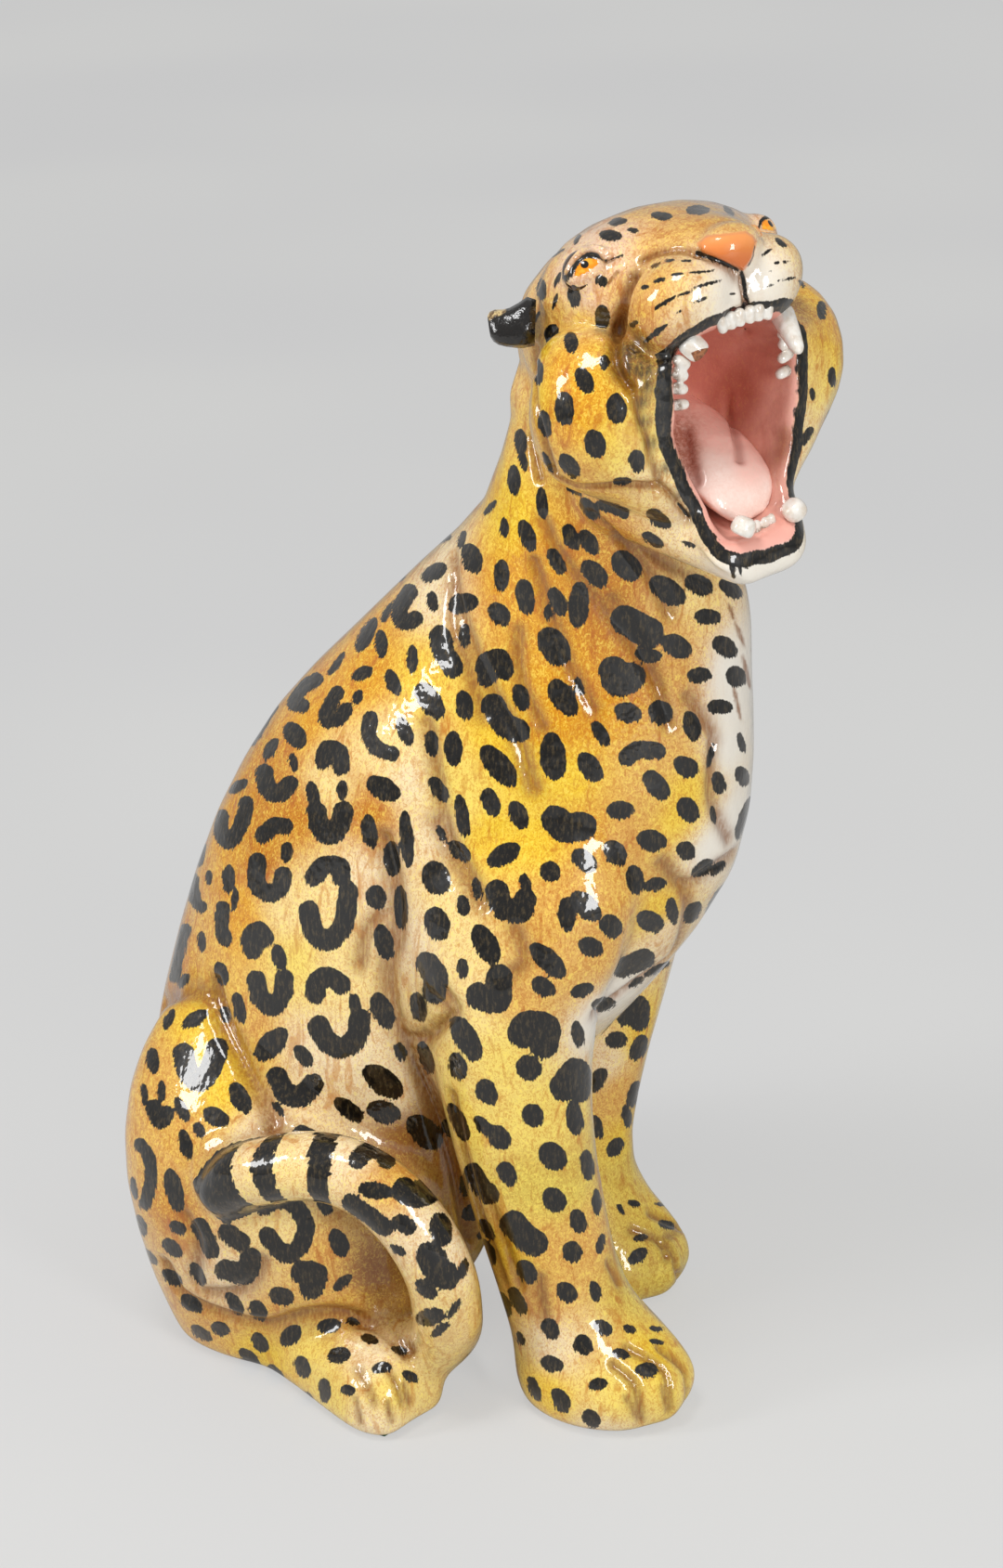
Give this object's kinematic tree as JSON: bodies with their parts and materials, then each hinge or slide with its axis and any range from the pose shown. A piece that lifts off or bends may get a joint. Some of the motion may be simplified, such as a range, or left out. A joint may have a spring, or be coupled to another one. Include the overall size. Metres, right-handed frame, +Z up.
{
  "type": "leopard statue",
  "caption": "Life-size seated roaring leopard in spotted glazed earthenware: hollow luted sections, open mouth with set teeth, curled tail and felt pads, for display on a floor.",
  "frame": {"origin": "centre of the bounding box in plan, on the floor under the felt pads", "axes": "+Z up, the leopard faces -Y, so its right side is at -X"},
  "size_m": [0.404, 0.5299, 0.8921],
  "materials": {
    "coat_glaze": "gloss glaze, cream to golden ochre with brushed near-black spots and rosettes",
    "ear_glaze": "gloss glaze, black with a pale tip",
    "eye_glaze": "gloss glaze, amber iris with a black pupil and rim",
    "mouth_glaze": "gloss glaze, dusty rose to salmon",
    "tooth_glaze": "gloss glaze, ivory with brown stain at the gum",
    "felt": "matt green felt"
  },
  "bodies": {
    "root": {"torso_shell": "coat_glaze", "right_foreleg": "coat_glaze", "left_foreleg": "coat_glaze", "right_hind_leg": "coat_glaze", "left_hind_leg": "coat_glaze", "tail": "coat_glaze", "head_shell": "coat_glaze", "lower_jaw": "coat_glaze", "right_ear": "ear_glaze", "left_ear": "ear_glaze", "right_eye": "eye_glaze", "left_eye": "eye_glaze", "mouth_lining": "mouth_glaze", "tongue": "mouth_glaze", "upper_incisors": "tooth_glaze", "lower_incisors": "tooth_glaze", "broken_upper_canine": "tooth_glaze", "whole_upper_canine": "tooth_glaze", "right_lower_canine": "tooth_glaze", "left_lower_canine": "tooth_glaze", "right_cheek_teeth": "tooth_glaze", "left_cheek_teeth": "tooth_glaze", "rump_felt": "felt", "right_fore_felt": "felt", "left_fore_felt": "felt", "right_hind_felt": "felt", "left_hind_felt": "felt"}
  },
  "joints": []
}
